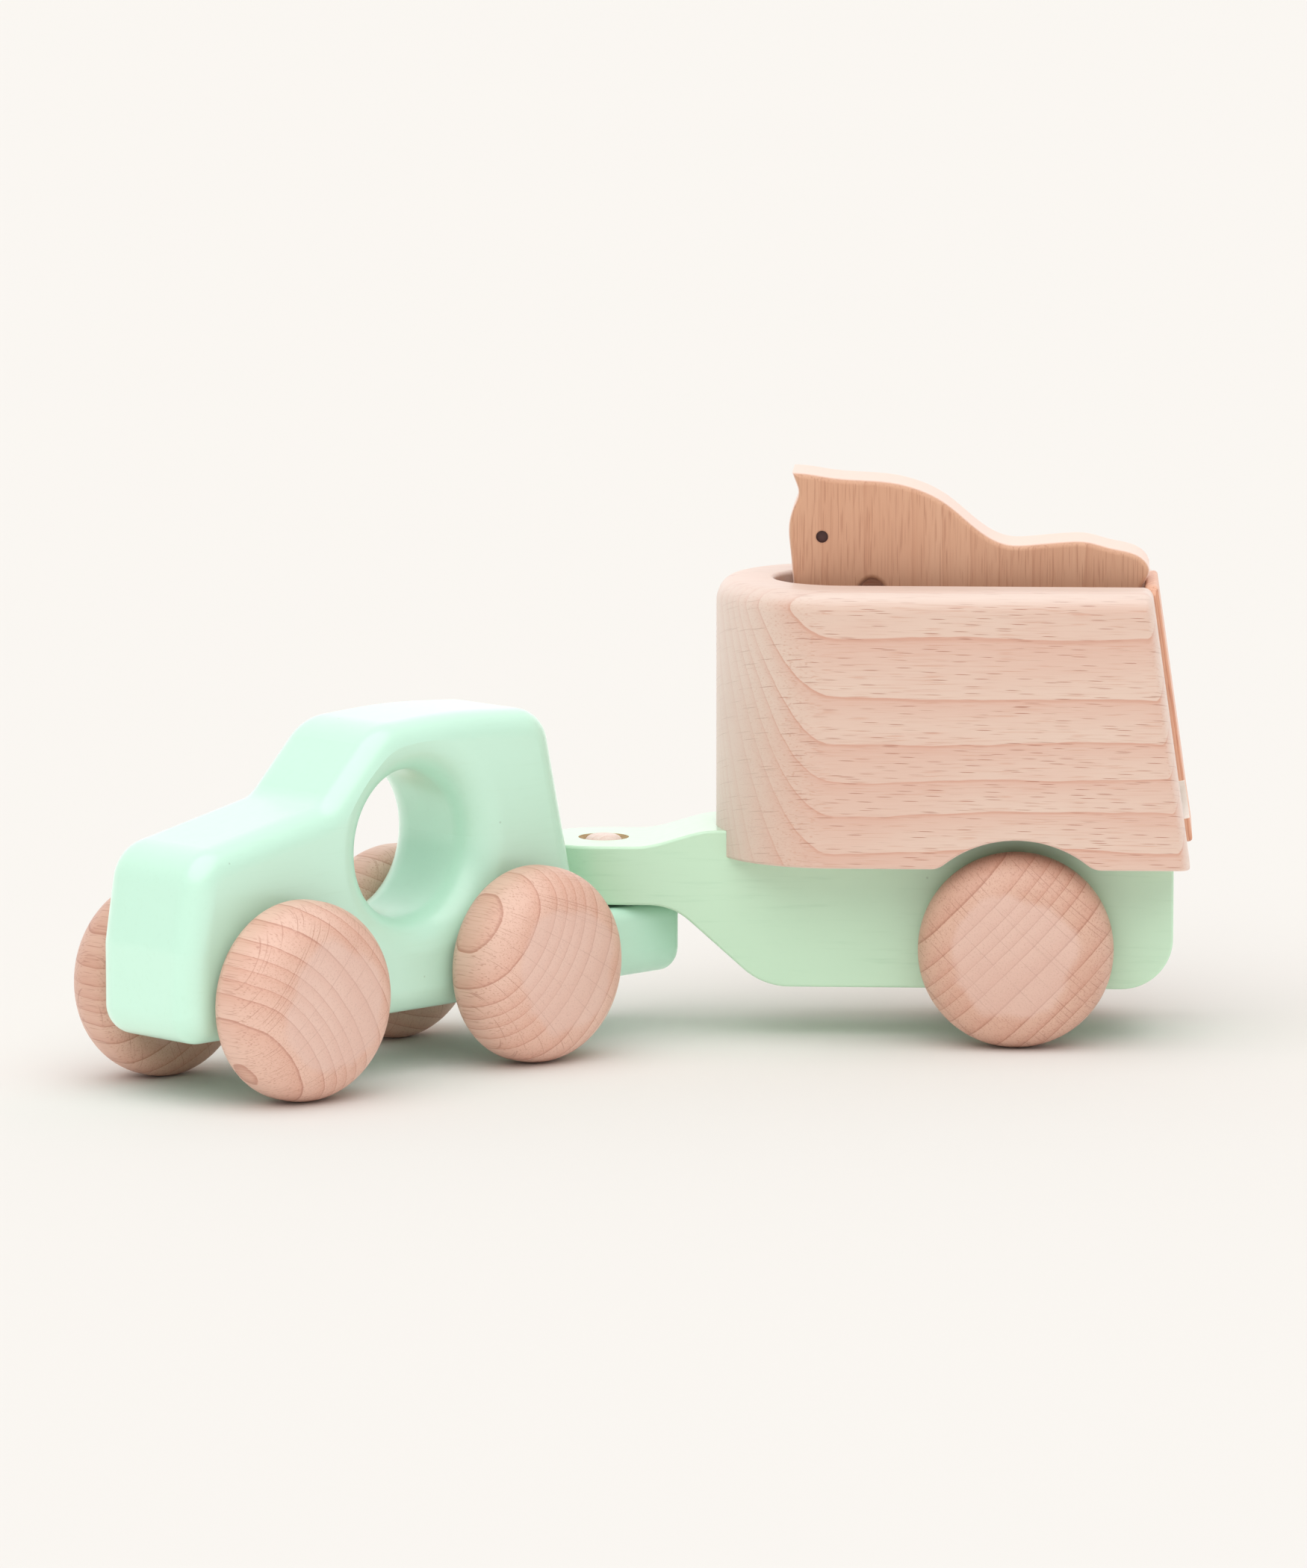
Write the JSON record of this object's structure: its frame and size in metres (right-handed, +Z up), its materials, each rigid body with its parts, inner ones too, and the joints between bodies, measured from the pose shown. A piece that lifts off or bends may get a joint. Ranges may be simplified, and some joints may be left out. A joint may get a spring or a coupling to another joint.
{
  "type": "toy car with horse trailer",
  "caption": "wooden push-along toy car with a round finger window, towing a wheeled horse box with an open top, a drop-down tailgate and a flat horse",
  "frame": {"origin": "the point of the ground on the vertical axis of the hitch peg", "axes": "+X runs back from the hitch along the trailer, +Z is up, +Y is to the trailer's right (its direction of travel is -X); the car is turned 47.3 degrees about +Z from straight at rest"},
  "size_m": [0.2516, 0.1568, 0.1309],
  "materials": {
    "painted_wood_car": "satin mint-green paint over wood",
    "painted_wood_trailer": "satin mint-green paint over wood, faint grain",
    "beech_box": "sanded beech, clear oil",
    "beech_gate": "sanded beech, clear oil",
    "beech_horse": "sanded darker beech, clear oil",
    "beech_wheel": "turned beech, clear oil",
    "beech_dowel": "beech dowel, clear oil",
    "steel_rod": "bright drawn steel"
  },
  "bodies": {
    "car": {"car_body": "painted_wood_car"},
    "hitch": {"hitch_peg": "beech_dowel"},
    "trailer": {"trailer_base": "painted_wood_trailer", "horse_box": "beech_box", "box_dowels": "beech_dowel", "tailgate_rod": "steel_rod"},
    "car_front_wheels": {"car_front_axle": "beech_dowel", "car_front_wheel_left": "beech_wheel", "car_front_wheel_right": "beech_wheel"},
    "car_rear_wheels": {"car_rear_axle": "beech_dowel", "car_rear_wheel_left": "beech_wheel", "car_rear_wheel_right": "beech_wheel"},
    "trailer_wheels": {"trailer_axle": "beech_dowel", "trailer_wheel_left": "beech_wheel", "trailer_wheel_right": "beech_wheel"},
    "tailgate": {"tailgate": "beech_gate"},
    "horse": {"horse": "beech_horse"}
  },
  "joints": [
    {"name": "hitch_yaw", "type": "hinge", "parent": "car", "child": "hitch", "pos_m": [0, 0, 0.0302], "axis": [0, 0, 1], "range_deg": [-47.7, 142.3]},
    {"name": "trailer_lift", "type": "slide", "parent": "hitch", "child": "trailer", "axis": [0, 0, 1], "range_m": [0, 0.015]},
    {"name": "car_front_roll", "type": "hinge", "parent": "car", "child": "car_front_wheels", "pos_m": [-0.0788, -0.0854, 0.0225], "axis": [-0.7349, 0.6782, 0], "continuous": true},
    {"name": "car_rear_roll", "type": "hinge", "parent": "car", "child": "car_rear_wheels", "pos_m": [-0.03004, -0.03256, 0.0225], "axis": [-0.7349, 0.6782, 0], "continuous": true},
    {"name": "trailer_roll", "type": "hinge", "parent": "trailer", "child": "trailer_wheels", "pos_m": [0.0961, 0, 0.0225], "axis": [0, 1, 0], "continuous": true},
    {"name": "tailgate_hinge", "type": "hinge", "parent": "trailer", "child": "tailgate", "pos_m": [0.13216, 0, 0.0504], "axis": [0, 1, 0], "range_deg": [0, 150]},
    {"name": "horse_lift", "type": "slide", "parent": "trailer", "child": "horse", "axis": [0, 0, 1], "range_m": [0, 0.055]}
  ]
}
